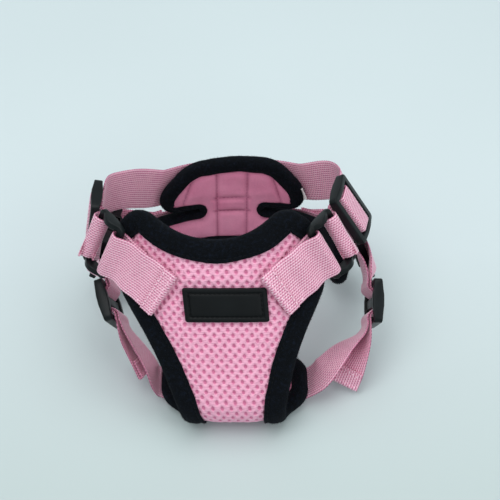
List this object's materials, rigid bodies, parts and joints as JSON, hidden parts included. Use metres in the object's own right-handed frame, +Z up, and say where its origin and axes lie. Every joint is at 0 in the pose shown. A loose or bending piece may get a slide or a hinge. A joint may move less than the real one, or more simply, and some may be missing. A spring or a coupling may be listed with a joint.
{
  "type": "no pull harness",
  "caption": "Padded dog harness: mesh chest and back pads with bound edges, webbing straps through sliders, side-release girth buckles and a swinging leash ring.",
  "frame": {"origin": "middle of the whole harness on the ground", "axes": "+X to the harness's right as seen from its chest side, +Y from chest pad to back pad, +Z up"},
  "size_m": [0.1625, 0.1522, 0.0994],
  "materials": {
    "air_mesh": "open knit",
    "webbing": "woven",
    "lining": "smooth cloth",
    "foam": "soft foam",
    "edge_tape": "brushed",
    "label_rubber": "matte",
    "plastic": "satin",
    "ring_steel": "polished",
    "tag_cloth": "woven"
  },
  "bodies": {
    "harness": {"chest_mesh_face": "air_mesh", "chest_foam_core": "foam", "chest_lining": "lining", "chest_binding": "edge_tape", "back_mesh_face": "air_mesh", "back_foam_core": "foam", "back_lining": "lining", "back_binding": "edge_tape", "label_patch": "label_rubber", "size_tag": "tag_cloth", "belly_webbing": "webbing", "back_girth_webbing": "webbing", "spine_webbing": "webbing", "leash_ring_keeper": "webbing", "chest_webbing_left": "webbing", "shoulder_strap_left": "webbing", "shoulder_ring_left": "plastic", "buckle_socket_left": "plastic", "chest_webbing_right": "webbing", "shoulder_strap_right": "webbing", "shoulder_ring_right": "plastic", "buckle_socket_right": "plastic"},
    "leash_ring": {"leash_ring": "ring_steel"},
    "buckle_plug_left": {"buckle_plug_left": "plastic", "girth_strap_left": "webbing"},
    "buckle_prong_upper_left": {"buckle_prong_upper_left": "plastic"},
    "buckle_prong_lower_left": {"buckle_prong_lower_left": "plastic"},
    "girth_glide_left": {"girth_glide_left": "plastic"},
    "shoulder_glide_left": {"shoulder_glide_left": "plastic"},
    "buckle_plug_right": {"buckle_plug_right": "plastic", "girth_strap_right": "webbing"},
    "buckle_prong_upper_right": {"buckle_prong_upper_right": "plastic"},
    "buckle_prong_lower_right": {"buckle_prong_lower_right": "plastic"},
    "girth_glide_right": {"girth_glide_right": "plastic"},
    "shoulder_glide_right": {"shoulder_glide_right": "plastic"}
  },
  "joints": [
    {"name": "leash_ring_swing", "type": "hinge", "parent": "harness", "child": "leash_ring", "pos_m": [0, 0.0731, 0.042], "axis": [1, 0, 0], "range_deg": [0, 150]},
    {"name": "buckle_release_left", "type": "slide", "parent": "harness", "child": "buckle_plug_left", "axis": [-0.1701, -0.9706, 0.1701], "range_m": [0, 0.022], "deforming": ["girth_strap_left", "buckle_prong_upper_left", "buckle_prong_lower_left"]},
    {"name": "prong_upper_left", "type": "hinge", "parent": "buckle_plug_left", "child": "buckle_prong_upper_left", "pos_m": [-0.06851, 0.02619, 0.04685], "axis": [-0.9299, 0.2152, 0.2982], "range_deg": [0, 16], "stiffness_Nm_per_rad": 0.25},
    {"name": "prong_lower_left", "type": "hinge", "parent": "buckle_plug_left", "child": "buckle_prong_lower_left", "pos_m": [-0.07487, 0.02409, 0.02853], "axis": [0.9299, -0.2152, -0.2982], "range_deg": [0, 16], "stiffness_Nm_per_rad": 0.25},
    {"name": "girth_glide_left", "type": "slide", "parent": "buckle_plug_left", "child": "girth_glide_left", "axis": [-0.2807, 0.8721, 0.4009], "range_m": [-0.008, 0.003], "deforming": ["girth_strap_left"]},
    {"name": "shoulder_glide_left", "type": "slide", "parent": "harness", "child": "shoulder_glide_left", "axis": [0, 0.9988, -0.0499], "range_m": [-0.006, 0.01], "deforming": ["shoulder_strap_left"]},
    {"name": "buckle_release_right", "type": "slide", "parent": "harness", "child": "buckle_plug_right", "axis": [0.1701, -0.9706, 0.1701], "range_m": [0, 0.022], "deforming": ["girth_strap_right", "buckle_prong_upper_right", "buckle_prong_lower_right"]},
    {"name": "prong_upper_right", "type": "hinge", "parent": "buckle_plug_right", "child": "buckle_prong_upper_right", "pos_m": [0.06851, 0.02619, 0.04685], "axis": [-0.9299, -0.2152, -0.2982], "range_deg": [0, 16], "stiffness_Nm_per_rad": 0.25},
    {"name": "prong_lower_right", "type": "hinge", "parent": "buckle_plug_right", "child": "buckle_prong_lower_right", "pos_m": [0.07487, 0.02409, 0.02853], "axis": [0.9299, 0.2152, 0.2982], "range_deg": [0, 16], "stiffness_Nm_per_rad": 0.25},
    {"name": "girth_glide_right", "type": "slide", "parent": "buckle_plug_right", "child": "girth_glide_right", "axis": [0.02, 0.841, 0.5406], "range_m": [-0.008, 0.003], "deforming": ["girth_strap_right"]},
    {"name": "shoulder_glide_right", "type": "slide", "parent": "harness", "child": "shoulder_glide_right", "axis": [0.2401, 0.9703, -0.03], "range_m": [-0.006, 0.01], "deforming": ["shoulder_strap_right"]}
  ],
  "couplings": [
    {"joint": "prong_lower_left", "follows": "prong_upper_left", "ratio": 1},
    {"joint": "prong_lower_right", "follows": "prong_upper_right", "ratio": 1}
  ]
}
